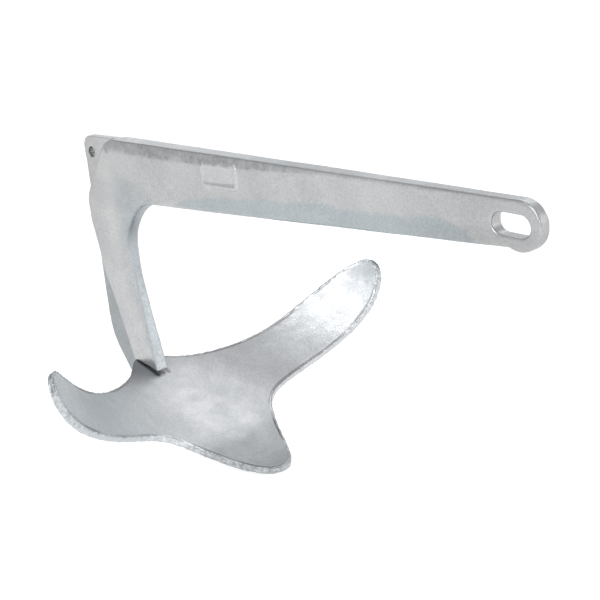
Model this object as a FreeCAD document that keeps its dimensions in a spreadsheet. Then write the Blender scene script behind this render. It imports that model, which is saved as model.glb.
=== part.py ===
import FreeCAD, Part
import math
import os

import Sketcher

# Claw anchor with three flukes, hot-dip galvanised steel, nominal 5 kg.
# Origin: centre of the forward end of the shackle slot, where the shackle pin bears.
# +X runs forward along the shank, +Y to port, +Z up. Millimetres.

DRIVING_SIZES = [
    # shank seen from the side: eye, bar, shoulder at the top of the heel, leg and foot
    ("eye_x", -1.1), ("eye_z", 0.3), ("eye_radius", 15.8),
    ("bar_top_eye", 16.1), ("bar_bottom_eye", -13.2),
    ("shoulder_x", -399.0), ("shoulder_z", 25.6), ("shoulder_radius", 25.0),
    ("heel_x", -432.0), ("heel_upper_z", -23.0), ("heel_lower_z", -44.0), ("heel_radius", 18.0),
    ("calf_rear_x", -423.5), ("calf_rear_z", -88.0),
    ("crotch_x", -386.5), ("crotch_z", -23.3), ("crotch_radius", 45.0),
    ("shin_x", -388.0), ("shin_z", -82.0), ("shin_radius", 100.0),
    ("foot_rear_x", -401.5), ("foot_rear_z", -157.2), ("toe_x", -371.0), ("toe_z", -162.7),
    # shank thickness: thickest at the heel, thinner towards the eye and the foot
    ("shank_blank", 40.0),
    ("eye_end_x", 30.0), ("eye_end_half", 4.4), ("heel_end_x", -460.0), ("heel_end_half", 9.7),
    ("knee_z", -12.0), ("calf_z", -115.0), ("calf_half", 5.4), ("sole_z", -220.0), ("sole_half", 4.8),
    ("head_z", 60.0),
    # thin web behind the leg: the trip-line ear at its top, the keel under the claw at its foot
    ("web_thickness", 7.0), ("web_top_x", -375.0), ("web_front_x", -412.0),
    ("ear_x", -432.8), ("ear_z", 25.6), ("ear_radius", 9.0),
    ("ear_foot_x", -431.3), ("ear_foot_z", -5.0),
    ("spur_x", -430.4), ("spur_z", -140.0), ("spur_radius", 50.0),
    ("tail_x", -402.0), ("tail_z", -182.4), ("tail_radius", 14.0),
    ("keel_front_x", -345.0), ("keel_middle_x", -372.0), ("keel_front_z", -187.0),
    # slot for the shackle pin and hole for the trip line
    ("slot_radius", 6.7), ("slot_spacing", 14.1), ("slot_tilt", 2.7),
    ("trip_x", -423.0), ("trip_z", 12.5), ("trip_radius", 4.0),
    # claw: heights of the trough's spine, its radius across, and the plate
    ("claw_rear_x", -401.0), ("claw_tip_x", -234.0),
    ("spine_rear", -157.8), ("spine_rear_pull", -169.1),
    ("spine_tip_pull", -205.1), ("spine_tip", -210.7),
    ("trough_radius_rear", 108.0), ("trough_radius_tip", 380.0), ("plate_thickness", 5.2),
    # claw's outline: x along the spine, and distance along the plate to either side of it
    ("root_setback", 1.3), ("root_across", 5.0), ("fluke_tip_x", -312.5), ("fluke_tip_across", 183.0),
    ("fluke_tip_radius", 8.7), ("notch_x", -282.0), ("notch_across", 64.0), ("notch_radius", 23.3),
    ("lobe_side_x", -266.7), ("lobe_side_across", 28.8), ("lobe_tip_radius", 17.6),
    # raised blank frame on the starboard side of the bar
    ("frame_rear_x", -282.0), ("frame_front_x", -243.0), ("frame_low_z", -1.5), ("frame_high_z", 17.0),
    ("frame_width", 2.4), ("frame_reach", 8.5), ("frame_corner", 3.0),
    # gap between the keel and the plate it carries, and the weld beads that close the corner
    ("seat_gap", 0.15), ("weld_radius", 4.5), ("weld_rear_x", -398.5), ("weld_front_x", -349.0),
]

# Waypoints of the claw's outline between its round tips: (x along the spine, distance across).
FLUKE_REAR_EDGE = ((-384.0, 22.0), (-366.5, 48.0), (-351.0, 85.0), (-341.0, 125.0))
FLUKE_FRONT_EDGE = ((-298.5, 130.0), (-303.5, 95.0))


def make_sheet(document):
    cells = document.addObject("Spreadsheet::Sheet", "Sizes")
    for row, (alias, value) in enumerate(DRIVING_SIZES, start=1):
        cells.set(f"A{row}", alias)
        cells.set(f"B{row}", str(value))
        cells.setAlias(f"B{row}", alias)
    document.recompute()
    return cells


doc = FreeCAD.newDocument("ClawAnchor")
sheet = make_sheet(doc)


def size(alias):
    return float(sheet.get(alias))


def value_of(place):
    """A place is a cell's alias, or a plain number."""
    return size(place) if isinstance(place, str) else place


# ---- sketches and features ------------------------------------------------------------------

def new_sketch(body, name, role):
    sketch = body.newObject("Sketcher::SketchObject", name)
    plane = next(item for item in body.Origin.OriginFeatures if item.Role == role)
    sketch.AttachmentSupport = [(plane, "")]
    sketch.MapMode = "FlatFace"
    return sketch


def fix_point(sketch, geometry, point, corner):
    for kind, place in zip(("DistanceX", "DistanceY"), corner):
        rule = Sketcher.Constraint(kind, -1, 1, geometry, point, value_of(place))
        index = sketch.addConstraint(rule)
        if isinstance(place, str):
            sketch.setExpression(f"Constraints[{index}]", f"Sizes.{place}")


def add_polygon(sketch, corners):
    spots = [FreeCAD.Vector(value_of(a), value_of(b), 0) for a, b in corners]
    lines = [
        sketch.addGeometry(Part.LineSegment(start, end), False)
        for start, end in zip(spots, spots[1:] + spots[:1])
    ]
    for line, following in zip(lines, lines[1:] + lines[:1]):
        sketch.addConstraint(Sketcher.Constraint("Coincident", line, 2, following, 1))
    for line, corner in zip(lines, corners):
        fix_point(sketch, line, 1, corner)


def add_circle(sketch, centre, radius):
    spot = FreeCAD.Vector(value_of(centre[0]), value_of(centre[1]), 0)
    index = sketch.addGeometry(Part.Circle(spot, FreeCAD.Vector(0, 0, 1), size(radius)), False)
    fix_point(sketch, index, 3, centre)
    rule = sketch.addConstraint(Sketcher.Constraint("Radius", index, size(radius)))
    sketch.setExpression(f"Constraints[{rule}]", f"Sizes.{radius}")


def pad_both_ways(body, name, sketch, thickness):
    pad = body.newObject("PartDesign::Pad", name)
    pad.Profile = sketch
    pad.SideType = "Symmetric"
    pad.setExpression("Length", f"Sizes.{thickness}")
    doc.recompute()
    return pad


def cut_through(body, name, sketch):
    before = body.Shape.Volume
    pocket = body.newObject("PartDesign::Pocket", name)
    pocket.Profile = sketch
    pocket.Type = "ThroughAll"
    pocket.SideType = "Symmetric"
    doc.recompute()
    if body.Shape.Volume >= before:
        raise ValueError(f"{name} cut nothing")


def corner_edge(feature, corner):
    """The edge across the shank at a corner of its side view."""
    near = 0.05
    for number, edge in enumerate(feature.Shape.Edges, start=1):
        if all(
            abs(v.X - value_of(corner[0])) < near and abs(v.Z - value_of(corner[1])) < near
            for v in edge.Vertexes
        ):
            return f"Edge{number}"
    raise ValueError(f"no edge at {corner}")


def round_corner(body, name, corner, radius):
    base = body.Tip
    fillet = body.newObject("PartDesign::Fillet", name)
    fillet.Base = (base, [corner_edge(base, corner)])
    fillet.setExpression("Radius", f"Sizes.{radius}")
    doc.recompute()


# ---- shank ----------------------------------------------------------------------------------

def bar_and_leg(body):
    side = new_sketch(body, "SideProfile", "XZ_Plane")
    add_polygon(side, [
        ("eye_x", "bar_top_eye"), ("shoulder_x", "shoulder_z"), ("heel_x", "heel_upper_z"),
        ("heel_x", "heel_lower_z"), ("calf_rear_x", "calf_rear_z"),
        ("foot_rear_x", "foot_rear_z"), ("toe_x", "toe_z"),
        ("shin_x", "shin_z"), ("crotch_x", "crotch_z"), ("eye_x", "bar_bottom_eye"),
    ])
    pad_both_ways(body, "BarAndLeg", side, "shank_blank")
    round_corner(body, "Crotch", ("crotch_x", "crotch_z"), "crotch_radius")
    round_corner(body, "Shin", ("shin_x", "shin_z"), "shin_radius")
    round_corner(body, "Shoulder", ("shoulder_x", "shoulder_z"), "shoulder_radius")
    round_corner(body, "Heel", ("heel_x", "heel_upper_z"), "heel_radius")
    eye = new_sketch(body, "EyeProfile", "XZ_Plane")
    add_circle(eye, ("eye_x", "eye_z"), "eye_radius")
    pad_both_ways(body, "Eye", eye, "shank_blank")


def taper(body):
    """Cut the blank down on both sides, so that it is thickest where the bar meets the leg."""
    outside = size("shank_blank")
    for side in (1, -1):
        plan = new_sketch(body, f"PlanTaper{'Port' if side > 0 else 'Starboard'}", "XY_Plane")
        add_polygon(plan, [
            ("eye_end_x", side * size("eye_end_half")), ("heel_end_x", side * size("heel_end_half")),
            ("heel_end_x", side * outside), ("eye_end_x", side * outside),
        ])
        cut_through(body, plan.Name + "Cut", plan)
        front = new_sketch(body, f"FrontTaper{'Port' if side > 0 else 'Starboard'}", "YZ_Plane")
        add_polygon(front, [
            (side * size("heel_end_half"), "head_z"), (side * size("heel_end_half"), "knee_z"),
            (side * size("calf_half"), "calf_z"), (side * size("sole_half"), "sole_z"),
            (side * outside, "sole_z"), (side * outside, "head_z"),
        ])
        cut_through(body, front.Name + "Cut", front)


def rear_web(body):
    """Ear, thin back of the leg, and keel; it leaves a seat for the claw's plate under the foot."""
    gap = size("seat_gap")
    seat_rear = size("claw_rear_x") - gap
    seat_front = size("keel_front_x")
    seat = [(x, underside(x) - gap) for x in (seat_front, size("keel_middle_x"), seat_rear)]
    side = new_sketch(body, "WebProfile", "XZ_Plane")
    add_polygon(side, [
        ("web_top_x", "ear_z"), ("ear_x", "ear_z"), ("ear_foot_x", "ear_foot_z"), ("spur_x", "spur_z"),
        ("tail_x", "tail_z"), ("keel_front_x", "keel_front_z"), *seat,
        (seat_rear, "spur_z"), ("web_front_x", "calf_z"),
    ])
    pad_both_ways(body, "Web", side, "web_thickness")
    round_corner(body, "EarCorner", ("ear_x", "ear_z"), "ear_radius")
    round_corner(body, "Spur", ("spur_x", "spur_z"), "spur_radius")
    round_corner(body, "Tail", ("tail_x", "tail_z"), "tail_radius")


def blank_frame(body):
    """Raised rectangular frame with nothing inside it, cast on the starboard side of the bar."""
    width = size("frame_width")
    corners = [
        ("frame_rear_x", "frame_low_z"), ("frame_front_x", "frame_low_z"),
        ("frame_front_x", "frame_high_z"), ("frame_rear_x", "frame_high_z"),
    ]
    inset = [
        (size(x) + (width if x == "frame_rear_x" else -width),
         size(z) + (width if z == "frame_low_z" else -width))
        for x, z in corners
    ]
    outline = new_sketch(body, "FrameOutline", "XZ_Plane")
    add_polygon(outline, corners)
    add_polygon(outline, inset)
    pad = body.newObject("PartDesign::Pad", "BlankFrame")
    pad.Profile = outline
    pad.setExpression("Length", "Sizes.frame_reach")
    doc.recompute()
    for number, corner in enumerate(corners, start=1):
        round_corner(body, f"FrameCorner{number}", corner, "frame_corner")


def holes(body):
    slot = new_sketch(body, "ShackleSlot", "XZ_Plane")
    tilt = math.radians(size("slot_tilt"))
    radius = size("slot_radius")
    rear = FreeCAD.Vector(-size("slot_spacing") * math.cos(tilt), size("slot_spacing") * math.sin(tilt), 0)
    offset = FreeCAD.Vector(math.sin(tilt), math.cos(tilt), 0) * radius
    quarter = math.pi / 2
    ends = [
        slot.addGeometry(Part.ArcOfCircle(
            Part.Circle(centre, FreeCAD.Vector(0, 0, 1), radius),
            start - tilt, start - tilt + math.pi), False)
        for centre, start in ((FreeCAD.Vector(0, 0, 0), -quarter), (rear, quarter))
    ]
    sides = [
        slot.addGeometry(Part.LineSegment(start, end), False)
        for start, end in ((offset, rear + offset), (rear - offset, -offset))
    ]
    for arc, line in ((ends[0], sides[0]), (ends[1], sides[1])):
        slot.addConstraint(Sketcher.Constraint("Tangent", arc, 2, line, 1))
    for line, arc in ((sides[0], ends[1]), (sides[1], ends[0])):
        slot.addConstraint(Sketcher.Constraint("Tangent", line, 2, arc, 1))
    fix_point(slot, ends[0], 3, (0.0, 0.0))
    fix_point(slot, ends[1], 3, (rear.x, rear.y))
    rule = slot.addConstraint(Sketcher.Constraint("Radius", ends[0], radius))
    slot.setExpression(f"Constraints[{rule}]", "Sizes.slot_radius")
    cut_through(body, "ShackleSlotCut", slot)
    trip = new_sketch(body, "TripLineHole", "XZ_Plane")
    add_circle(trip, ("trip_x", "trip_z"), "trip_radius")
    cut_through(body, "TripLineHoleCut", trip)


def make_shank():
    body = doc.addObject("PartDesign::Body", "shank")
    body.Label = "shank"
    bar_and_leg(body)
    taper(body)
    rear_web(body)
    blank_frame(body)
    holes(body)
    return body


# ---- claw -----------------------------------------------------------------------------------

def spine_fraction(x):
    return (x - size("claw_rear_x")) / (size("claw_tip_x") - size("claw_rear_x"))


def spine_height(x):
    f = spine_fraction(x)
    g = 1 - f
    return (size("spine_rear") * g**3 + 3 * size("spine_rear_pull") * f * g**2
            + 3 * size("spine_tip_pull") * f**2 * g + size("spine_tip") * f**3)


def spine_pitch(x):
    step = 0.5
    return math.atan2(spine_height(x + step) - spine_height(x - step), 2 * step)


def underside(x):
    return spine_height(x) - size("plate_thickness") / math.cos(spine_pitch(x))


def plate_point(x, across, depth):
    """A point of the claw: across is measured along the plate, depth below its upper face."""
    f = spine_fraction(x)
    bend = (1 - f) / size("trough_radius_rear") + f / size("trough_radius_tip")
    pitch = spine_pitch(x)
    angle = across * bend
    rise = (1 - math.cos(angle)) / bend - depth * math.cos(angle)
    return FreeCAD.Vector(
        x - math.sin(pitch) * rise,
        math.sin(angle) / bend + depth * math.sin(angle),
        spine_height(x) + math.cos(pitch) * rise,
    )


def arc_points(centre_x, centre_across, radius, angles):
    return [
        (centre_x + radius * math.cos(math.radians(a)), centre_across + radius * math.sin(math.radians(a)))
        for a in angles
    ]


def port_rear_edge():
    """Waypoints of the claw's rear edge, from beside the shank out to the fluke's tip."""
    return [
        (size("claw_rear_x") + size("root_setback"), size("root_across")),
        *FLUKE_REAR_EDGE,
        *arc_points(size("fluke_tip_x"), size("fluke_tip_across"), size("fluke_tip_radius"),
                    (160, 130, 100)),
    ]


def port_front_edge():
    """Waypoints of the claw's front edge, from beside the middle lobe's tip out to the fluke's tip."""
    lobe_centre_x = size("claw_tip_x") - size("lobe_tip_radius")
    return [
        *arc_points(lobe_centre_x, 0, size("lobe_tip_radius"), (30, 60)),
        (size("lobe_side_x"), size("lobe_side_across")),
        *arc_points(size("notch_x"), size("notch_across"), size("notch_radius"), (240, 212, 183)),
        *reversed(FLUKE_FRONT_EDGE),
        *arc_points(size("fluke_tip_x"), size("fluke_tip_across"), size("fluke_tip_radius"),
                    (20, 50, 80)),
    ]


def edge_curve(port_points, middle_x):
    """One edge of the flat outline, from the starboard fluke's tip to the port fluke's tip."""
    starboard = [(x, -across) for x, across in reversed(port_points)]
    curve = Part.BSplineCurve()
    curve.interpolate(
        Points=[FreeCAD.Vector(x, across, 0)
                for x, across in starboard + [(middle_x, 0.0)] + port_points]
    )
    return curve


def edge_samples(curve, count):
    """Points evenly spaced along each half of an edge, so that both halves match."""
    middle = curve.length() / 2
    return [
        curve.value(curve.parameterAtDistance(middle * 2 * i / (count - 1), curve.FirstParameter))
        for i in range(count)
    ]


def plate_face(depth):
    """The claw's face at a depth below its upper side, as one surface between its two long edges."""
    columns = 41
    rows = 7
    rear = edge_samples(edge_curve(port_rear_edge(), size("claw_rear_x")), columns)
    front = edge_samples(edge_curve(port_front_edge(), size("claw_tip_x")), columns)
    grid = []
    for row in range(rows):
        share = row / (rows - 1)
        flat = [a * (1 - share) + b * share for a, b in zip(rear, front)]
        grid.append([plate_point(spot.x, spot.y, depth) for spot in flat])
    surface = Part.BSplineSurface()
    surface.interpolate(grid)
    return surface.toShape()


def make_claw():
    upper = plate_face(0.0)
    lower = plate_face(size("plate_thickness"))
    rim = [Part.makeRuledSurface(a, b) for a, b in zip(upper.Edges, lower.Edges)]
    shell = Part.makeShell([upper, lower, *rim])
    shell.sewShape()
    claw = doc.addObject("Part::Feature", "claw")
    claw.Label = "claw"
    claw.Shape = Part.makeSolid(shell)
    claw.Placement = FreeCAD.Placement()
    return claw


# ---- welds ----------------------------------------------------------------------------------

def weld_rod(name, side):
    """A round rod along the corner where one side of the keel meets the claw's underside."""
    stations = 8
    rear = size("weld_rear_x")
    pitch = (size("weld_front_x") - rear) / stations
    corner = [
        FreeCAD.Vector(x, side * size("web_thickness") / 2, underside(x))
        for x in (rear + pitch * number for number in range(stations + 1))
    ]
    curve = Part.BSplineCurve()
    curve.interpolate(Points=corner)
    along = curve.tangent(curve.FirstParameter)[0]
    section = Part.Wire([Part.makeCircle(size("weld_radius"), corner[0], along)])
    rod = doc.addObject("Part::Feature", name)
    rod.Shape = Part.Wire([curve.toShape()]).makePipeShell([section], True, False)
    return rod


def keel_block():
    """The keel's thickness, long and high enough to trim both weld rods."""
    block = doc.addObject("Part::Box", "KeelBlock")
    block.setExpression("Width", "Sizes.web_thickness")
    block.setExpression("Length", "Sizes.keel_front_x - Sizes.heel_x")
    block.setExpression("Height", "Sizes.foot_rear_z - Sizes.sole_z")
    block.setExpression("Placement.Base.x", "Sizes.heel_x")
    block.setExpression("Placement.Base.y", "-Sizes.web_thickness / 2")
    block.setExpression("Placement.Base.z", "Sizes.sole_z")
    return block


def make_weld(label, side, block, plate):
    rod = weld_rod(f"{label}_rod", side)
    outside_keel = doc.addObject("Part::Cut", f"{label}_beside_keel")
    outside_keel.Base = rod
    outside_keel.Tool = block
    weld = doc.addObject("Part::Cut", label)
    weld.Label = label
    weld.Base = outside_keel
    weld.Tool = plate
    return weld


shank = make_shank()
claw = make_claw()
trimmer = keel_block()
sub_parts = [
    shank,
    claw,
    make_weld("weld_port", 1, trimmer, claw),
    make_weld("weld_starboard", -1, trimmer, claw),
]
doc.recompute()
for item in doc.Objects:
    bad = [state for state in item.State if state in ("Invalid", "Error")]
    if bad:
        raise ValueError(f"{item.Name}: {bad}")
for item in sub_parts:
    shape = item.Shape
    if shape.isNull() or not shape.isValid() or len(shape.Solids) != 1:
        raise ValueError(f"{item.Label}: not one valid solid")
os.makedirs("parts", exist_ok=True)
for item in sub_parts:
    item.Shape.exportStep(f"parts/{item.Label}.step")
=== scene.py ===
import math

import bmesh
import bpy
import numpy as np
from mathutils import Matrix, Vector, kdtree, noise


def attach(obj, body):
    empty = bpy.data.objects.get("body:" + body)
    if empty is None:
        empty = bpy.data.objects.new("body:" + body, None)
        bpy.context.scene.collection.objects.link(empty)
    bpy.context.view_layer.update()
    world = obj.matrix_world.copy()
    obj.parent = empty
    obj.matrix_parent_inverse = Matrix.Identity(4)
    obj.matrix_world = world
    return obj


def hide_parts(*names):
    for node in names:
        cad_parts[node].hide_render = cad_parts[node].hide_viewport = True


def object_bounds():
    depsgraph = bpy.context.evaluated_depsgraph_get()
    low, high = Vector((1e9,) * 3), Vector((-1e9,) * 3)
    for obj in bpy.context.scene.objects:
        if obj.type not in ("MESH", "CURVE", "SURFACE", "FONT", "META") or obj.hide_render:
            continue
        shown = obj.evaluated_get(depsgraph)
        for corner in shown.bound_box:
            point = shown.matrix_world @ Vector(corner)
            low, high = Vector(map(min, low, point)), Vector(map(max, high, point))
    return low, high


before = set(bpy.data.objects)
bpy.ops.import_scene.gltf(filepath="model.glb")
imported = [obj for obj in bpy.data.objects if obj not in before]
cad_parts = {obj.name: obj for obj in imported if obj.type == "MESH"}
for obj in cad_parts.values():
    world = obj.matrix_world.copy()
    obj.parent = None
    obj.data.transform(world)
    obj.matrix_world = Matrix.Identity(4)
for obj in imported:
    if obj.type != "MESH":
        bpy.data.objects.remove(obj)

# A hot-dip galvanised claw anchor. The CAD gives every piece its place and size. Here each piece is
# remeshed finely, its edges are rounded as cast and dipped metal rounds them, and the zinc gets its
# waviness, beads and pits. Lengths are in metres; lists of points and widths are in millimetres.

MM = 0.001

# The size of the remeshed surfaces' faces, and the rounds of smoothing each surface gets.
SHANK_VOXEL = 0.7 * MM
CLAW_VOXEL = 0.75 * MM
WELD_VOXEL = 0.4 * MM
SHANK_SMOOTHING = 2
CLAW_SMOOTHING = 3
WELD_SMOOTHING = 3

# CAD vertices nearer than this are one vertex. TINY keeps a divisor away from zero.
SAME_PLACE = 0.002 * MM
TINY = 1e-9

# How far apart the noise of two neighbouring seeds lies.
SEED_STEP = Vector((13.7, -7.3, 3.1))

cad_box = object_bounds()
scene = bpy.context.scene


# ---- mesh tools -----------------------------------------------------------------------------

def new_object(name, mesh):
    piece = bpy.data.objects.new(name, mesh)
    scene.collection.objects.link(piece)
    return piece


def welded(node):
    """A CAD node's surface with its faces joined up. The node itself isn't touched."""
    surface = bmesh.new()
    surface.from_mesh(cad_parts[node].data)
    bmesh.ops.remove_doubles(surface, verts=surface.verts, dist=SAME_PLACE)
    return surface


def remeshed_copy(name, node, voxel):
    """A new mesh of small even quads over a CAD node's surface."""
    mesh = bpy.data.meshes.new(name + "_draft")
    surface = welded(node)
    surface.to_mesh(mesh)
    surface.free()
    rough = new_object(name + "_draft", mesh)
    remesh = rough.modifiers.new("remesh", "REMESH")
    remesh.mode = "VOXEL"
    remesh.voxel_size = voxel
    evaluated = rough.evaluated_get(bpy.context.evaluated_depsgraph_get())
    fine = bpy.data.meshes.new_from_object(evaluated)
    bpy.data.objects.remove(rough)
    fine.name = name
    return new_object(name, fine)


class Surface:
    """The vertices of a piece as arrays, with what's needed to move them together."""

    def __init__(self, piece):
        self.mesh = piece.data
        count = len(self.mesh.vertices)
        flat = np.zeros(count * 3)
        self.mesh.vertices.foreach_get("co", flat)
        self.points = flat.reshape(-1, 3)
        ends = np.zeros(len(self.mesh.edges) * 2, np.int64)
        self.mesh.edges.foreach_get("vertices", ends)
        self.ends = ends.reshape(-1, 2)
        self.degree = np.maximum(np.bincount(ends, minlength=count), 1)

    def average(self, values):
        """Each vertex's mean over its neighbours, for one column of values."""
        start, end = self.ends.T
        total = np.bincount(start, values[end], len(self.degree))
        total += np.bincount(end, values[start], len(self.degree))
        return total / self.degree

    def smooth(self, rounds, share=0.5):
        for _ in range(rounds):
            mean = np.stack([self.average(column) for column in self.points.T], axis=1)
            self.points += share * (mean - self.points)

    def blur(self, values, rounds):
        for _ in range(rounds):
            values = 0.5 * (values + self.average(values))
        return values

    def write(self):
        self.mesh.vertices.foreach_set("co", self.points.ravel())
        self.mesh.update()

    def normals(self):
        self.write()
        flat = np.zeros(len(self.points) * 3, np.float32)
        self.mesh.vertex_normals.foreach_get("vector", flat)
        return flat.reshape(-1, 3).astype(float)

    def displace(self, heights):
        self.points += self.normals() * heights[:, None]
        self.write()

    def store(self, **columns):
        for name, values in columns.items():
            attribute = self.mesh.attributes.new(name, "FLOAT", "POINT")
            attribute.data.foreach_set("value", values.astype(np.float32))


def lumps(points, grain, seed):
    """Smooth noise between about -1 and 1, with bumps about one grain apart."""
    shift = seed * SEED_STEP
    return np.array([noise.noise(Vector(p) / grain + shift) for p in points])


def layers(points, rows):
    """Layers of noise added up. Each has a height and a grain in millimetres, and a seed."""
    return sum(height * MM * lumps(points, grain * MM, seed) for height, grain, seed in rows)


def smoothstep(low, high, value):
    share = np.clip((value - low) / (high - low), 0.0, 1.0)
    return share * share * (3.0 - 2.0 * share)


def fade(value, stretch_mm):
    """0 where a stretch given in millimetres starts, and 1 where it ends. The value is in metres."""
    start, end = stretch_mm
    return smoothstep(start * MM, end * MM, value)


def ridge(value, centre, width):
    """1 at the centre, falling off smoothly on both sides."""
    return np.exp(-((value - centre) / width) ** 2)


def nearest(samples, points):
    """For each point, the index of the nearest sample and the distance to it."""
    tree = kdtree.KDTree(len(samples))
    for number, sample in enumerate(samples):
        tree.insert(sample, number)
    tree.balance()
    found = [tree.find(point)[1:] for point in points]
    return np.array([hit[0] for hit in found]), np.array([hit[1] for hit in found])


def painted_areas(areas, effects, base_shade):
    """Add up what each area does to the zinc's shade, coolness, pitting and gloss."""
    total = sum(np.outer(effects[name], area) for name, area in areas.items())
    shade, cool, pits, gloss = total
    return {"shade": base_shade + shade, "cool": np.clip(cool, 0, 1),
            "pits": np.clip(pits, 0, 1), "gloss": np.clip(gloss, 0, 1)}


# ---- shank ----------------------------------------------------------------------------------

# Half the thickness of the thin web behind the heel and leg.
WEB_HALF = 3.5 * MM

# Limits between the shank's stretches of edge. Top edges are ahead of EAR_X and above TOP_Z, rear
# ones behind REAR_X. The bend starts behind BEND_FRONT_X, and the leg below LEG_TOP_Z.
EAR_X = -425 * MM
TOP_Z = 5 * MM
REAR_X = -370 * MM
BEND_FRONT_X = -345 * MM
LEG_TOP_Z = -45 * MM

# Rounding of the thick part's edges. Along the bar it goes by x, down the leg by z. Behind the
# leg the edge takes up most of the step down to the web.
RIM_STEP = 0.5 * MM
MIN_ROUNDING = 0.01 * MM
TOP_ROUNDING = 1.3 * MM
FRONT_ROUNDING = ((-157, 1.0), (-140, 1.2), (-110, 2.4), (-60, 4.6), (0, 4.6))
UNDER_ROUNDING = ((-400, 4.6), (-370, 3.6), (-345, 1.6), (20, 1.4))
HOLE_ROUNDING = 1.1 * MM
REAR_SHARE = 0.85

# How far an edge's inward direction has to point forward, or down, to be a rear or a top edge.
FACES_REAR = 0.6
FACES_UP = -0.3

# A rim edge joins a face this square to the side with one this square to the outline, and stands
# this far out from the web.
SIDE_SQUARE = 0.9
OUTLINE_SQUARE = 0.3
OUT_FROM_WEB = 0.3 * MM

# Towards the bar's top and the leg's front the sides lean in: how far from the edge that starts,
# and how far in they come.
TOP_REACH = ((-425, 9.0), (-330, 11.0), (-250, 9.0), (-170, 4.0), (-60, 2.5), (20, 2.5))
TOP_LEAN = ((-425, 1.9), (-330, 1.9), (-250, 1.3), (-170, 0.4), (-60, 0.25), (20, 0.3))
FRONT_REACH = ((-157, 2.0), (-130, 5.0), (-100, 8.0), (-60, 10.0), (0, 10.0))
FRONT_LEAN = ((-157, 0.0), (-130, 0.3), (-100, 1.2), (-60, 2.6), (-25, 2.6), (-15, 0.8), (0, 0.0))
FRONT_LEAN_X = (-345, -372)
NO_LEAN = (MM, 0.0)

# The raised blank frame on the starboard side of the bar: its outline, how far outside it edges
# are still left sharp, and the side it is on. Its grain and its shine start over the two bands,
# by the distance inside its outline, which counts as FAR_OUTSIDE on the other side of the bar.
FRAME_X = (-282, -243)
FRAME_Z = (-1.5, 17.0)
FRAME_MARGIN = 1.5
FRAME_SIDE = -5 * MM
FRAME_GRAIN_BAND = (-1.0, 0.0)
FRAME_SHINE_BAND = (-0.5, 1.0)
FAR_OUTSIDE = -10.0

# The slot's surroundings, and the hole for the trip line.
SLOT_X = (-23, 9)
SLOT_Z = (-9, 10)
TRIP_X = -423 * MM
TRIP_Z = 12.5 * MM
TRIP_RADIUS = 4.0 * MM

# The bend inside the hook, where the edges are worn into the sides.
BEND_X = -384 * MM
BEND_Z = -38 * MM
BEND_REACH = 20 * MM
BEND_ROUNDS = 60

# Where the bar's side turns from warm to cool grey, from the heel towards the eye.
COOL_LINE = ((-420, -60), (-330, -26), (-300, -10.6), (-260, -6.5), (-180, -3.8), (-90, -1.5),
             (-58, -1.2), (-44, -3.6), (-37, -9), (-25, -20))


def table(points, value):
    """A value read off a list of (place, size) pairs in millimetres, returned in metres."""
    places, sizes = zip(*points)
    return np.interp(value / MM, places, sizes) * MM


def inside(points, x_range, z_range, margin=0.0):
    x, z = points[..., 0] / MM, points[..., 2] / MM
    return ((x > x_range[0] - margin) & (x < x_range[1] + margin)
            & (z > z_range[0] - margin) & (z < z_range[1] + margin))


def edge_shape(x, z, half, inward):
    """An edge's rounding, and the reach and depth of the lean beside it, from where it is."""
    if inside(np.array((x, 0.0, z)), SLOT_X, SLOT_Z):
        return HOLE_ROUNDING, *NO_LEAN
    if inward[0] > FACES_REAR and x < REAR_X:
        return REAR_SHARE * (half - WEB_HALF), *NO_LEAN
    if inward[1] < FACES_UP and x > EAR_X and z > TOP_Z:
        return TOP_ROUNDING, table(TOP_REACH, x), table(TOP_LEAN, x)
    if x < BEND_FRONT_X:
        rounding = table(UNDER_ROUNDING, x) if z > LEG_TOP_Z else table(FRONT_ROUNDING, z)
        return rounding, table(FRONT_REACH, z), fade(x, FRONT_LEAN_X) * table(FRONT_LEAN, z)
    return table(UNDER_ROUNDING, x), *NO_LEAN


def is_rim(steep, flat, half):
    """Whether two faces meet in a long edge of the thick part, between its side and outline."""
    square = abs(flat.normal.y) > SIDE_SQUARE and abs(steep.normal.y) < OUTLINE_SQUARE
    return square and half > WEB_HALF + OUT_FROM_WEB


def rim_samples(node, step):
    """Points along the thick part's outer edges: place, half thickness, inward way and shape."""
    surface = welded(node)
    samples = []
    for edge in surface.edges:
        if len(edge.link_faces) != 2 or not edge.is_convex:
            continue
        steep, flat = sorted(edge.link_faces, key=lambda face: abs(face.normal.y))
        start, end = (vertex.co for vertex in edge.verts)
        half = min(abs(start.y), abs(end.y))
        if not is_rim(steep, flat, half):
            continue
        inward = -Vector((steep.normal.x, steep.normal.z)).normalized()
        count = max(1, round((end - start).length / step))
        for number in range(count):
            spot = start.lerp(end, (number + 0.5) / count)
            if inside(np.array(spot), FRAME_X, FRAME_Z, FRAME_MARGIN):
                continue
            shape = edge_shape(spot.x, spot.z, abs(spot.y), inward)
            samples.append((spot.x, spot.z, abs(spot.y), *inward, *shape))
    surface.free()
    return np.array(samples)


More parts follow.
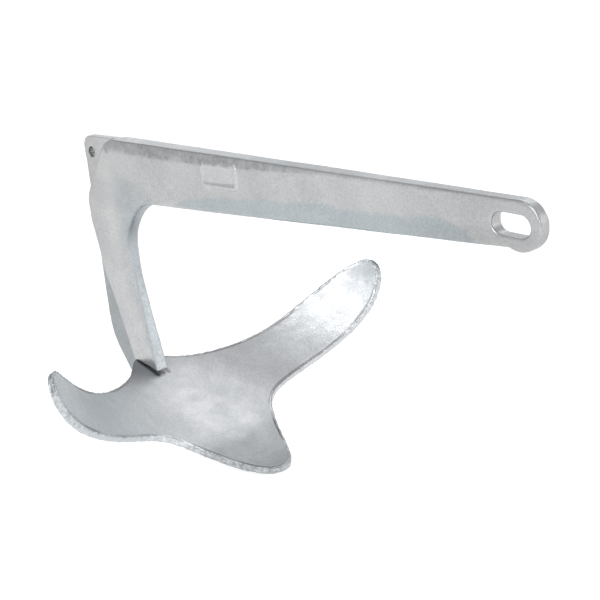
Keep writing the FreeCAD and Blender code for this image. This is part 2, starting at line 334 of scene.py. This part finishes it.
def round_edges(surface, samples):
    """Round the thick part's edges and lean its sides in beside them.

    Gives how close each vertex is to a leaning edge, 1 at the edge and 0 where the lean starts,
    and how far round an edge it is, 0 on a side and 1 on the outline.
    """
    p = surface.points
    rim_spots = [(x, z, 0.0) for x, z in samples[:, :2]]
    index, _ = nearest(rim_spots, [(x, z, 0.0) for x, z in p[:, [0, 2]]])
    spot = samples[index]
    inward = spot[:, 3:5]
    half, radius, reach, lean = spot[:, [2, 5, 6, 7]].T
    radius = np.maximum(radius, MIN_ROUNDING)
    depth = np.einsum("ij,ij->i", p[:, [0, 2]] - spot[:, :2], inward)
    near = depth > -MM
    u = radius - np.maximum(depth, 0.0)
    v = np.abs(p[:, 1]) - (half - radius)
    on_edge = (u > 0) & (v > 0) & near
    share = np.where(on_edge, radius / np.maximum(np.hypot(u, v), TINY), 1.0)
    p[:, [0, 2]] += inward * ((1 - share) * u)[:, None]
    p[:, 1] -= np.sign(p[:, 1]) * (1 - share) * v
    turn = np.where(on_edge, np.arctan2(u, np.maximum(v, TINY)) / (math.pi / 2), 0.0)
    leaning = np.where(near, 1.0 - np.clip(depth / reach, 0.0, 1.0), 0.0) * (lean > 0)
    p[:, 1] *= 1.0 - leaning**2 * lean / half
    return leaning, turn


def frame_band(p):
    """Distance inside the blank frame's outer edge on the starboard side, in millimetres."""
    x, z = p[:, 0] / MM, p[:, 2] / MM
    reach = np.minimum(np.minimum(x - FRAME_X[0], FRAME_X[1] - x),
                       np.minimum(z - FRAME_Z[0], FRAME_Z[1] - z))
    return np.where(p[:, 1] < FRAME_SIDE, reach, FAR_OUTSIDE)


def soften_bend(surface):
    """Wear the edges inside the bend of the shank until they run into the sides."""
    sharp = surface.points.copy()
    surface.smooth(BEND_ROUNDS)
    share = ridge(sharp[:, 0], BEND_X, BEND_REACH) * ridge(sharp[:, 2], BEND_Z, BEND_REACH)
    surface.points[:] = sharp + (surface.points - sharp) * share[:, None]


# Layers of noise on the shank: height and grain in millimetres, and seed.
SHANK_WAVES = ((0.28, 42, 11), (0.09, 13, 12))
SHANK_BEADS = ((0.16, 6, 13), (0.10, 3, 14))
FRAME_GRAIN = ((0.10, 1.5, 15),)
SHANK_WANDER = ((3.0, 18, 17), (1.2, 5, 18))

# The middle of an edge's rounding, and how far round it the beads and the gloss reach.
ARC_MIDDLE = 0.5
ARC_WIDTH = 0.4

# Pocks in the sides just under the top: depth, grain, seed and the noise that makes one.
POCK_DEPTH = 0.45 * MM
POCK_GRAIN = 3.6 * MM
POCK_SEED = 19
POCK_NOISE = (0.05, 0.4)


def make_shank(material):
    piece = remeshed_copy("shank_casting", "shank", SHANK_VOXEL)
    surface = Surface(piece)
    leaning, turn = round_edges(surface, rim_samples("shank", RIM_STEP))
    near_top = leaning * (surface.points[:, 2] > TOP_Z)
    surface.smooth(SHANK_SMOOTHING)
    soften_bend(surface)
    p = surface.points.copy()
    normal = surface.normals()
    arc = ridge(turn, ARC_MIDDLE, ARC_WIDTH)
    band = frame_band(p)
    pocks = smoothstep(*POCK_NOISE, lumps(p, POCK_GRAIN, POCK_SEED))
    pocks *= near_top * smoothstep(*FACING_UP, np.abs(normal[:, 1]))
    height = layers(p, SHANK_WAVES) + arc * layers(p, SHANK_BEADS) - POCK_DEPTH * pocks
    surface.displace(height + smoothstep(*FRAME_GRAIN_BAND, band) * layers(p, FRAME_GRAIN))
    surface.store(**shank_paint(p, normal, leaning, turn, band))
    finish_piece(piece, "shank", material)


# What each area does to the shank's zinc colour: lighter or darker, cooler, more pitted, glossier.
# Several of the lighter and darker areas are painted light and painted shade.
SHANK_SHADE = 1.0
SHANK_EFFECTS = {
    "underside": (0.00, 1.0, 0.0, 0.0),
    "web": (0.00, 0.0, 0.3, 0.0),
    # Painted shade, cooler, on the web low behind the leg, which is set back from the leg's sides.
    "shaded_low_web": (-0.24, 0.8, 0.0, 0.0),
    "under_top": (0.00, 0.0, 1.0, 0.0),
    # Painted shade, broken up by mottling, on the sides just under the top edges.
    "mottled_shade_under_top": (-0.13, 0.0, 0.0, 0.0),
    # Painted shade along the rounding of the top edges.
    "crease_shade": (-0.28, 0.0, 0.0, 0.0),
    "strip": (0.00, 0.4, 0.0, 0.0),
    # Painted light on the top faces of the bar, and more of it on the heel's top.
    "lit_bar_top": (0.12, 0.0, 0.0, 0.0),
    "lit_heel_top": (0.40, 0.0, 0.0, 0.0),
    "eye_end": (-0.10, 0.0, 0.0, 0.0),
    "eye_underside": (-0.12, 0.0, 0.0, 0.0),
    "rear_edge": (-0.08, 0.0, 0.0, 0.0),
    "clouds": (-0.10, 0.9, 0.0, 0.0),
    # Painted shade in and round the hole for the trip line.
    "trip_hole_shade": (-0.45, 0.0, 0.0, 0.0),
    # A painted highlight inside the blank frame, beside its real pits and gloss.
    "frame": (0.06, 0.0, 0.2, 0.5),
    # A painted reflection on the front faces, lighter and cooler, beside their real pits.
    "front": (0.10, 0.6, 0.6, 0.0),
    # A stronger painted highlight on the front low on the leg.
    "foot_front_highlight": (0.26, 0.0, 0.0, 0.0),
    # Painted shade, cooler, where the leg's sides lean in towards its front edges.
    "near_front_shade": (-0.04, 0.4, 0.0, 0.0),
    # Painted shade, cooler, on the wall inside the bend.
    "bend_wall_shade": (-0.09, 0.7, 0.0, 0.0),
    "arc": (0.00, 0.0, 0.0, 0.5),
}

# Where the shank's areas fade in, from nothing to full, in millimetres along x or z.
COOL_DEPTH = (1.8, -2.2)
COOL_X = (-345, -290)
WEB_STEP = (0.9, 0.3)
WEB_X = (-395, -403)
LOW_WEB_Z = (-60, -110)
UNDER_TOP_X = (-140, -230)
HEEL_STRIP_X = (-150, -320)
EYE_END_X = (-120, -20)
EYE_UNDERSIDE_Z = (2, -8)
REAR_EDGE_X = (-405, -428)
REAR_EDGE_Z = (-90, -60)
NEAR_FRONT_Z = (-10, -20)
FRONT_Z = (-35, -60)
FOOT_FRONT_Z = (-80, -120)
BEND_WALL_X = ((-405, -395), (-335, -350))
BEND_WALL_Z = ((-75, -45), (-5, -15))
TRIP_EDGE = 0.8 * MM

# How far a normal has to turn to count as facing up or sideways, or as facing away from the side.
FACING_UP = (0.8, 0.95)
FACING_AWAY = (0.5, 0.15)

# The darker, cooler clouds by the bend: x and z, and width and height, in millimetres.
CLOUDS = ((-372, -22, 20, 14), (-380, -50, 10, 18))
CLOUD_WANDER = 3 * MM

# Painted shade in the fold along the top edges, by how far round the edge and how near the top it is,
# and the mottled painted shade under it.
CREASE_MIDDLE = 0.45
CREASE_WIDTH = 0.3
CREASE_LEAN = (0.1, 0.5)
UNDER_TOP_LEAN = (0.0, 0.25)
MOTTLE = 1.2
MOTTLE_GRAIN = 7 * MM
MOTTLE_SEED = 23


def bend_clouds(x, z, wander):
    """Soft dark clouds, broken up a little, 1 at their middles."""
    clouds = [ridge(x, x_mm * MM, width * MM) * ridge(z, z_mm * MM, height * MM)
              for x_mm, z_mm, width, height in CLOUDS]
    return np.clip(np.maximum.reduce(clouds) * (1.0 + wander / CLOUD_WANDER), 0, 1)


def shank_paint(p, normal, leaning, turn, band):
    """Where the zinc is darker, cooler, pitted or glossier, with painted shade in the bend and along the
    top edges, and painted light on the top faces and the front.
    """
    x, z = p[:, 0], p[:, 2]
    above = z > TOP_Z
    near_top = leaning * above
    side = np.abs(normal[:, 1])
    wander = layers(p, SHANK_WANDER)
    web = fade(np.abs(p[:, 1]) - WEB_HALF, WEB_STEP) * fade(x, WEB_X) * side
    under_top = smoothstep(*UNDER_TOP_LEAN, near_top) * side * fade(x, UNDER_TOP_X)
    strip = smoothstep(*FACING_UP, normal[:, 2])
    eye_end = fade(x, EYE_END_X)
    front = smoothstep(*FACING_AWAY, side) * fade(z, FRONT_Z)
    bend_wall_shade = 1 - side
    for stretch_mm in BEND_WALL_Z:
        bend_wall_shade *= fade(z, stretch_mm)
    for stretch_mm in BEND_WALL_X:
        bend_wall_shade *= fade(x, stretch_mm)
    crease_shade = ridge(turn, CREASE_MIDDLE, CREASE_WIDTH) * above
    areas = {
        "underside": fade(z - table(COOL_LINE, x) + wander, COOL_DEPTH) * fade(x, COOL_X),
        "web": web,
        "shaded_low_web": web * fade(z, LOW_WEB_Z),
        "under_top": under_top,
        "mottled_shade_under_top": under_top * (1.0 + MOTTLE * lumps(p, MOTTLE_GRAIN, MOTTLE_SEED)),
        "crease_shade": crease_shade * smoothstep(*CREASE_LEAN, near_top),
        "strip": strip,
        "lit_bar_top": strip * (1 - eye_end),
        "lit_heel_top": strip * fade(x, HEEL_STRIP_X),
        "eye_end": eye_end,
        "eye_underside": eye_end * fade(z, EYE_UNDERSIDE_Z),
        "rear_edge": fade(x, REAR_EDGE_X) * fade(z, REAR_EDGE_Z),
        "clouds": bend_clouds(x, z, wander) * side,
        "trip_hole_shade": smoothstep(TRIP_EDGE, 0.0, np.hypot(x - TRIP_X, z - TRIP_Z) - TRIP_RADIUS),
        "frame": smoothstep(*FRAME_SHINE_BAND, band),
        "front": front,
        "foot_front_highlight": front * fade(z, FOOT_FRONT_Z),
        "near_front_shade": leaning * fade(z, NEAR_FRONT_Z),
        "bend_wall_shade": bend_wall_shade,
        "arc": ridge(turn, ARC_MIDDLE, ARC_WIDTH),
    }
    return painted_areas(areas, SHANK_EFFECTS, SHANK_SHADE)


# ---- claw and welds -------------------------------------------------------------------------

# The shank's foot where it stands on the plate.
FOOT_X = -386 * MM
FOOT_LENGTH = 31 * MM
FOOT_HALF = 5.2 * MM
FOOT_Z = -175 * MM

# The plate's rim: how sharp its edges are, and how far in from them it, its lip and the groove
# inside it reach, in millimetres from nothing to full.
SHARP = math.radians(50)
CLAW_RIM_STEP = 0.6 * MM
RIM_REACH = (4, 2.5)
RIM_BLUR = 2
LIP_REACH = (2.2, 0.8)
LIP_LINE_REACH = (3.2, 2.0)
GROOVE_REACH = 1.9 * MM
GROOVE_WIDTH = 0.6 * MM
GROOVE_DEPTH = 0.30 * MM
LIP_HEIGHT = 0.12 * MM

# How a normal's upward part tells the top face, the rim and the turn between them apart.
TOP_FACE = (0.15, 0.4)
OFF_THE_RIM = (0.2, 0.5)
LIP_LINE_TURN = 0.5
LIP_LINE_WIDTH = 0.22

# Layers of noise on the claw and welds: height and grain in millimetres, and seed.
CLAW_WAVES = ((0.35, 45, 1), (0.14, 12, 2))
CLAW_BEADS = ((0.28, 6, 3), (0.22, 2.6, 4))
CLAW_WANDER = ((14, 45, 6),)
WELD_WANDER = ((0.6, 6, 20),)
WELD_GRAIN = ((0.2, 4, 21),)
WELD_RIPPLE = 0.35 * MM
WELD_PITCH = 3.2 * MM
WELD_PAINT = {"shade": 0.9, "cool": 0.4, "pits": 0.6, "gloss": 0.3}

# The groove comes and goes along the rim, and the rim gets painted glints: grains, seeds and the noise.
GROOVE_PATCH = 30 * MM
GROOVE_SEED = 5
GROOVE_NOISE = (-0.35, 0.25)
SPARKLE_GRAIN = 2.2 * MM
SPARKLE_SEED = 7


def plate_rim(node, step):
    """Points along the sharp outer edges of the claw's plate."""
    surface = welded(node)
    samples = []
    for edge in surface.edges:
        if len(edge.link_faces) == 2 and edge.is_convex and edge.calc_face_angle() > SHARP:
            start, end = (vertex.co for vertex in edge.verts)
            count = max(1, round((end - start).length / step))
            samples += [start.lerp(end, (number + 0.5) / count) for number in range(count)]
    surface.free()
    return samples


def make_claw(material):
    piece = remeshed_copy("claw_plate", "claw", CLAW_VOXEL)
    surface = Surface(piece)
    _, reach = nearest(plate_rim("claw", CLAW_RIM_STEP), surface.points)
    surface.smooth(CLAW_SMOOTHING)
    p = surface.points.copy()
    up = surface.normals()[:, 2]
    rim = (1 - smoothstep(*OFF_THE_RIM, np.abs(up))) * fade(reach, RIM_REACH)
    rim = surface.blur(rim, RIM_BLUR)
    lip_line = ridge(up, LIP_LINE_TURN, LIP_LINE_WIDTH) * fade(reach, LIP_LINE_REACH)
    shaded_groove = np.maximum(smoothstep(*TOP_FACE, up) * ridge(reach, GROOVE_REACH, GROOVE_WIDTH), lip_line)
    shaded_groove *= smoothstep(*GROOVE_NOISE, lumps(p, GROOVE_PATCH, GROOVE_SEED))
    lip = fade(reach, LIP_REACH)
    beads = lip * (LIP_HEIGHT + layers(p, CLAW_BEADS))
    surface.displace(layers(p, CLAW_WAVES) + beads - GROOVE_DEPTH * shaded_groove)
    surface.store(**claw_paint(p, rim, shaded_groove, lip))
    finish_piece(piece, "claw", material)


# What each area does to the claw's zinc colour: lighter or darker, cooler, more pitted, glossier.
# Several of the lighter and darker areas are painted light and painted shade.
CLAW_SHADE = 0.97
CREVICE_SHADE = 0.5
CLAW_EFFECTS = {
    "plate": (0.00, 0.0, 0.15, 0.0),
    "dish": (-0.05, 0.0, 0.0, 0.0),
    # Painted shade, cooler, on the tip of the middle fluke.
    "lobe_shade": (-0.28, 0.5, 0.0, 0.0),
    # Painted light, cooler, on the starboard fluke.
    "starboard": (0.20, 0.7, 0.0, 0.0),
    # A painted highlight on the port fluke.
    "port_highlight": (0.14, 0.0, 0.0, 0.0),
    "port_tip": (0.00, 0.8, 0.0, 0.0),
    # A painted shadow, cooler, beside the shank's foot.
    "shadow_beside_foot": (-0.36, 0.4, 0.0, 0.0),
    # Painted shade in the groove inside the rim.
    "shaded_groove": (-0.60, 0.0, 0.0, 0.0),
    "lip": (0.00, 0.0, 0.0, 1.0),
    # A painted highlight along the rim, beside its real pits and gloss.
    "rim": (0.20, 0.0, 0.35, 1.0),
    # Painted glints along the rim.
    "rim_glints": (0.40, 0.0, 0.0, 0.0),
    # Painted shade that dims the rim's painted highlight out on the starboard fluke.
    "starboard_rim_shade": (-0.30, 0.0, 0.0, 0.0),
}

# Where the claw's areas fade in, from nothing to full, in millimetres along x or across.
DISH_ACROSS = (62, 35)
DISH_REAR_X = (-375, -350)
DISH_FRONT_X = (-262, -280)
LOBE_X = (-297, -272)
LOBE_ACROSS = (60, 45)
STARBOARD_ACROSS = (30, 75)
STARBOARD_RIM_ACROSS = (-60, -85)
BRIGHT_ACROSS = (72, 100)
PORT_TIP_ACROSS = (135, 158)
CREVICE_SHADOW_REACH = (2.6, 0.6)
LESS_WANDER = 0.4
BRIGHT_WANDER = 0.3

# The shaded place beside the foot, on its starboard side: middle and size.
SHADED_X = FOOT_X - 8 * MM
SHADED_Y = -18 * MM
SHADED_LENGTH = 22 * MM
SHADED_WIDTH = 20 * MM


def claw_paint(p, rim, shaded_groove, lip):
    """Cooler out on the flukes, with painted shade on the middle fluke's tip, in the hollow inside the
    rim and where the shank's foot shades it, and painted light on the starboard fluke, the port fluke
    and along the rim.
    """
    x, across = p[:, 0], p[:, 1]
    wander = layers(p, CLAW_WANDER)
    dish = fade(np.abs(across) + wander, DISH_ACROSS) * fade(x, DISH_REAR_X) * fade(x, DISH_FRONT_X)
    port_tip = fade(across + LESS_WANDER * wander, PORT_TIP_ACROSS)
    bright = fade(across + BRIGHT_WANDER * wander, BRIGHT_ACROSS)
    areas = {
        "plate": np.ones(len(p)),
        "dish": dish,
        "lobe_shade": fade(x + LESS_WANDER * wander, LOBE_X) * fade(np.abs(across), LOBE_ACROSS),
        "starboard": fade(wander - across, STARBOARD_ACROSS),
        "port_highlight": bright * (1 - port_tip),
        "port_tip": port_tip,
        "shadow_beside_foot": ridge(x, SHADED_X, SHADED_LENGTH) * ridge(across, SHADED_Y, SHADED_WIDTH),
        "shaded_groove": shaded_groove,
        "lip": lip,
        "rim": rim,
        "rim_glints": rim * lumps(p, SPARKLE_GRAIN, SPARKLE_SEED),
        "starboard_rim_shade": rim * fade(across, STARBOARD_RIM_ACROSS),
    }
    paint = painted_areas(areas, CLAW_EFFECTS, CLAW_SHADE)
    # A painted shadow in the crevice round the shank's foot, where it stands on the plate.
    past_foot = np.maximum(np.abs(x - FOOT_X) - FOOT_LENGTH / 2, 0)
    from_foot = np.hypot(past_foot, np.abs(across) - FOOT_HALF)
    paint["shade"] *= 1.0 - CREVICE_SHADE * fade(from_foot, CREVICE_SHADOW_REACH) * (p[:, 2] > FOOT_Z)
    return paint


def make_weld(node, material):
    """A bead along the keel, with the ripples of the weld pool."""
    piece = remeshed_copy(node + "_bead", node, WELD_VOXEL)
    surface = Surface(piece)
    surface.smooth(WELD_SMOOTHING)
    p = surface.points.copy()
    along = p[:, 0] + layers(p, WELD_WANDER)
    ripple = WELD_RIPPLE * np.sin(along * 2 * math.pi / WELD_PITCH)
    surface.displace(ripple + layers(p, WELD_GRAIN))
    surface.store(**{name: np.full(len(p), value) for name, value in WELD_PAINT.items()})
    finish_piece(piece, node, material)


def finish_piece(piece, node, material):
    piece.data.materials.clear()
    piece.data.materials.append(material)
    for face in piece.data.polygons:
        face.use_smooth = True
    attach(piece, "root")
    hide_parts(node)


# ---- materials ------------------------------------------------------------------------------

def add(tree, kind, **settings):
    node = tree.nodes.new(kind)
    for name, value in settings.items():
        setattr(node, name, value)
    return node


def feed(tree, socket, value):
    """Connect a socket, or give it a plain number or colour."""
    if isinstance(value, tuple):
        socket.default_value = (*value, 1.0)
    elif isinstance(value, (int, float)):
        socket.default_value = value
    else:
        tree.links.new(value, socket)


def painted(tree, name):
    return add(tree, "ShaderNodeAttribute", attribute_name=name).outputs["Fac"]


def noise_texture(tree, where, grain, detail, roughness=0.5):
    texture = add(tree, "ShaderNodeTexNoise")
    texture.inputs["Scale"].default_value = 1.0 / grain
    texture.inputs["Detail"].default_value = detail
    texture.inputs["Roughness"].default_value = roughness
    tree.links.new(where, texture.inputs["Vector"])
    return texture.outputs["Fac"]


def stretch(tree, value, low, high, to_low=0.0, to_high=1.0):
    node = add(tree, "ShaderNodeMapRange")
    for name, number in (("From Min", low), ("From Max", high), ("To Min", to_low), ("To Max", to_high)):
        node.inputs[name].default_value = number
    tree.links.new(value, node.inputs["Value"])
    return node.outputs["Result"]


def mix(tree, share, first, second, blend="MIX"):
    node = add(tree, "ShaderNodeMix", data_type="RGBA", blend_type=blend)
    factor, first_colour, second_colour = node.inputs[0], node.inputs[6], node.inputs[7]
    feed(tree, factor, share)
    feed(tree, first_colour, first)
    feed(tree, second_colour, second)
    return node.outputs[2]


def calculate(tree, operation, first, second):
    node = add(tree, "ShaderNodeMath", operation=operation)
    feed(tree, node.inputs[0], first)
    feed(tree, node.inputs[1], second)
    return node.outputs[0]


def bump(tree, height, strength, distance, under=None):
    node = add(tree, "ShaderNodeBump")
    node.inputs["Strength"].default_value = strength
    node.inputs["Distance"].default_value = distance
    tree.links.new(height, node.inputs["Height"])
    if under is not None:
        tree.links.new(under, node.inputs["Normal"])
    return node.outputs["Normal"]


# Noise in the zinc: grain in millimetres, detail, roughness, and the values taken as 0 and 1.
CLOUD_NOISE = (42, 4, 0.5, 0.32, 0.68)
PATCH_NOISE = (15, 5, 0.6, 0.36, 0.64)
GRAIN_NOISE = (1.8, 4, 0.75, 0.3, 0.7)
SPECK_NOISE = (3.0, 3, 0.8, 0.54, 0.64)
CRYSTAL_NOISE = (1.5, 2, 0.6, 0.35, 0.65)
UNEVEN_GRAIN = 7 * MM
UNEVEN_DETAIL = 3

# How much of each tint the zinc takes up.
PATCH_SHARE = 0.18
GRAIN_SHARE = 0.35
COOL_SHARE = 0.85
PIT_SHARE = 0.55
PIT_GREY = (0.26, 0.28, 0.30)
DULL_CRYSTAL = (0.89, 0.89, 0.90)
BRIGHT_CRYSTAL = (1.05, 1.05, 1.04)
METALLIC = 0.95
GLOSSIEST = 0.6

# Strength and depth of the uneven surface, the grain and the pits.
UNEVEN_BUMP = (0.35, 0.5 * MM)
GRAIN_BUMP = (0.4, 0.12 * MM)
PIT_BUMP = (0.6, 0.3 * MM)


def stretched_noise(tree, where, row):
    grain, detail, roughness, low, high = row
    return stretch(tree, noise_texture(tree, where, grain * MM, detail, roughness), low, high)


def zinc(name, dark, light, blue, rough_low, rough_high):
    """Hot-dip zinc: cloudy greys with a cool cast, fine crystalline grain, specks and pits."""
    material = bpy.data.materials.new(name)
    material.use_nodes = True
    tree = material.node_tree
    shader = tree.nodes["Principled BSDF"]
    where = add(tree, "ShaderNodeTexCoord").outputs["Object"]
    rows = (CLOUD_NOISE, PATCH_NOISE, GRAIN_NOISE, SPECK_NOISE, CRYSTAL_NOISE)
    cloud, patch, grain, specks, crystals = [stretched_noise(tree, where, row) for row in rows]
    pits = calculate(tree, "MULTIPLY", specks, painted(tree, "pits"))
    colour = mix(tree, cloud, dark, light)
    colour = mix(tree, calculate(tree, "MULTIPLY", patch, PATCH_SHARE), colour, blue)
    colour = mix(tree, calculate(tree, "MULTIPLY", grain, GRAIN_SHARE), colour, light)
    colour = mix(tree, painted(tree, "cool"), colour, mix(tree, COOL_SHARE, colour, blue))
    tones = mix(tree, crystals, DULL_CRYSTAL, BRIGHT_CRYSTAL)
    colour = mix(tree, 1.0, colour, tones, "MULTIPLY")
    colour = mix(tree, calculate(tree, "MULTIPLY", pits, PIT_SHARE), colour, PIT_GREY)
    # The shade attribute, which holds the painted shade and painted highlights among other tones, scales
    # the colour.
    shade = add(tree, "ShaderNodeCombineColor")
    for socket in shade.inputs[:3]:
        feed(tree, socket, painted(tree, "shade"))
    colour = mix(tree, 1.0, colour, shade.outputs[0], "MULTIPLY")
    feed(tree, shader.inputs["Base Color"], colour)
    rough = stretch(tree, patch, 0.0, 1.0, rough_low, rough_high)
    polish = stretch(tree, painted(tree, "gloss"), 0.0, 1.0, 1.0, GLOSSIEST)
    feed(tree, shader.inputs["Roughness"], calculate(tree, "MULTIPLY", rough, polish))
    feed(tree, shader.inputs["Metallic"], METALLIC)
    uneven = noise_texture(tree, where, UNEVEN_GRAIN, UNEVEN_DETAIL)
    normal = bump(tree, uneven, *UNEVEN_BUMP)
    normal = bump(tree, grain, *GRAIN_BUMP, normal)
    sunk = calculate(tree, "SUBTRACT", 1.0, pits)
    feed(tree, shader.inputs["Normal"], bump(tree, sunk, *PIT_BUMP, normal))
    return material


# ---- stage, light and camera ----------------------------------------------------------------

AZIMUTH = math.radians(48.2)
ELEVATION = math.radians(17.09)
ROLL = math.radians(-5.75)
DISTANCE = 0.9242
LENS_MM = 80.0
AIM = Vector((-0.1981, 0.0, -0.0762))

# The floor and the surroundings glow. Each glow is first as it lights the anchor, then as seen.
FLOOR_HALF = 6.0
FLOOR_DROP = 1 * MM
FLOOR_GREY = (0.45, 0.45, 0.45)
FLOOR_ROUGHNESS = 0.9
FLOOR_GLOW = (0.56, 0.80)
WHITE = (1.0, 1.0, 1.0)
SKY = (0.985, 0.99, 1.0)
SKY_GLOW = (0.62, 1.1)

# Each softbox: name, azimuth and elevation in degrees, distance, width, height and radiance.
SOFTBOXES = (
    ("key", -61, 37, 1.4, 1.0, 1.15, 2.6),
    ("back", 108, 52, 1.4, 0.8, 1.1, 1.12),
    ("bow", 42, 14, 1.6, 0.6, 0.6, 1.3),
)


def glow(tree, lighting, seen):
    """One strength where a surface lights others, another where the camera sees it."""
    camera_ray = add(tree, "ShaderNodeLightPath").outputs["Is Camera Ray"]
    return stretch(tree, camera_ray, 0.0, 1.0, lighting, seen)


def make_floor():
    mesh = bpy.data.meshes.new("floor")
    z = cad_box[0][2] - FLOOR_DROP
    corners = [(x * FLOOR_HALF, y * FLOOR_HALF, z) for x, y in ((-1, -1), (1, -1), (1, 1), (-1, 1))]
    mesh.from_pydata(corners, [], [(0, 1, 2, 3)])
    floor = new_object("floor", mesh)
    material = bpy.data.materials.new("floor_white")
    material.use_nodes = True
    tree = material.node_tree
    shader = tree.nodes["Principled BSDF"]
    feed(tree, shader.inputs["Base Color"], FLOOR_GREY)
    feed(tree, shader.inputs["Roughness"], FLOOR_ROUGHNESS)
    feed(tree, shader.inputs["Emission Color"], WHITE)
    feed(tree, shader.inputs["Emission Strength"], glow(tree, *FLOOR_GLOW))
    mesh.materials.append(material)


def make_world():
    """White where the camera sees it, softer where it lights the anchor."""
    world = bpy.data.worlds.new("studio")
    scene.world = world
    world.use_nodes = True
    tree = world.node_tree
    background = tree.nodes["Background"]
    feed(tree, background.inputs["Color"], SKY)
    feed(tree, background.inputs["Strength"], glow(tree, *SKY_GLOW))


def add_softbox(name, azimuth, elevation, distance, width, height, radiance):
    """A panel facing the anchor. Azimuth runs from +X towards +Y."""
    lamp = bpy.data.lights.new(name, "AREA")
    lamp.shape = "RECTANGLE"
    lamp.size = width
    lamp.size_y = height
    lamp.energy = radiance * math.pi * width * height
    holder = bpy.data.objects.new(name, lamp)
    scene.collection.objects.link(holder)
    turn, rise = math.radians(azimuth), math.radians(elevation)
    toward = Vector((math.cos(turn) * math.cos(rise), math.sin(turn) * math.cos(rise), math.sin(rise)))
    holder.location = AIM + toward * distance
    holder.rotation_euler = toward.to_track_quat("Z", "Y").to_euler()
    holder.visible_camera = False


def make_camera():
    back = Vector((math.sin(AZIMUTH) * math.cos(ELEVATION), -math.cos(AZIMUTH) * math.cos(ELEVATION),
                   math.sin(ELEVATION)))
    level = Vector((math.cos(AZIMUTH), math.sin(AZIMUTH), 0.0))
    upright = back.cross(level)
    right = level * math.cos(ROLL) + upright * math.sin(ROLL)
    up = upright * math.cos(ROLL) - level * math.sin(ROLL)
    data = bpy.data.cameras.new("camera")
    data.lens = LENS_MM
    camera = bpy.data.objects.new("camera", data)
    scene.collection.objects.link(camera)
    turn = Matrix((right, up, back)).transposed().to_4x4()
    camera.matrix_world = Matrix.Translation(AIM + back * DISTANCE) @ turn
    scene.camera = camera


# ---- the scene ------------------------------------------------------------------------------

# Darker and lighter grey, cool grey, and the least and most roughness.
shank_zinc = zinc("zinc_shank", (0.57, 0.58, 0.59), (0.69, 0.69, 0.69), (0.52, 0.57, 0.595), 0.34, 0.48)
claw_zinc = zinc("zinc_claw", (0.59, 0.60, 0.615), (0.67, 0.68, 0.695), (0.53, 0.575, 0.60), 0.32, 0.44)
weld_zinc = zinc("zinc_weld", (0.45, 0.47, 0.49), (0.62, 0.64, 0.66), (0.50, 0.55, 0.58), 0.40, 0.60)
make_shank(shank_zinc)
make_claw(claw_zinc)
make_weld("weld_port", weld_zinc)
make_weld("weld_starboard", weld_zinc)

make_floor()
make_world()
for row in SOFTBOXES:
    add_softbox(*row)
make_camera()
scene.view_settings.view_transform = "Standard"
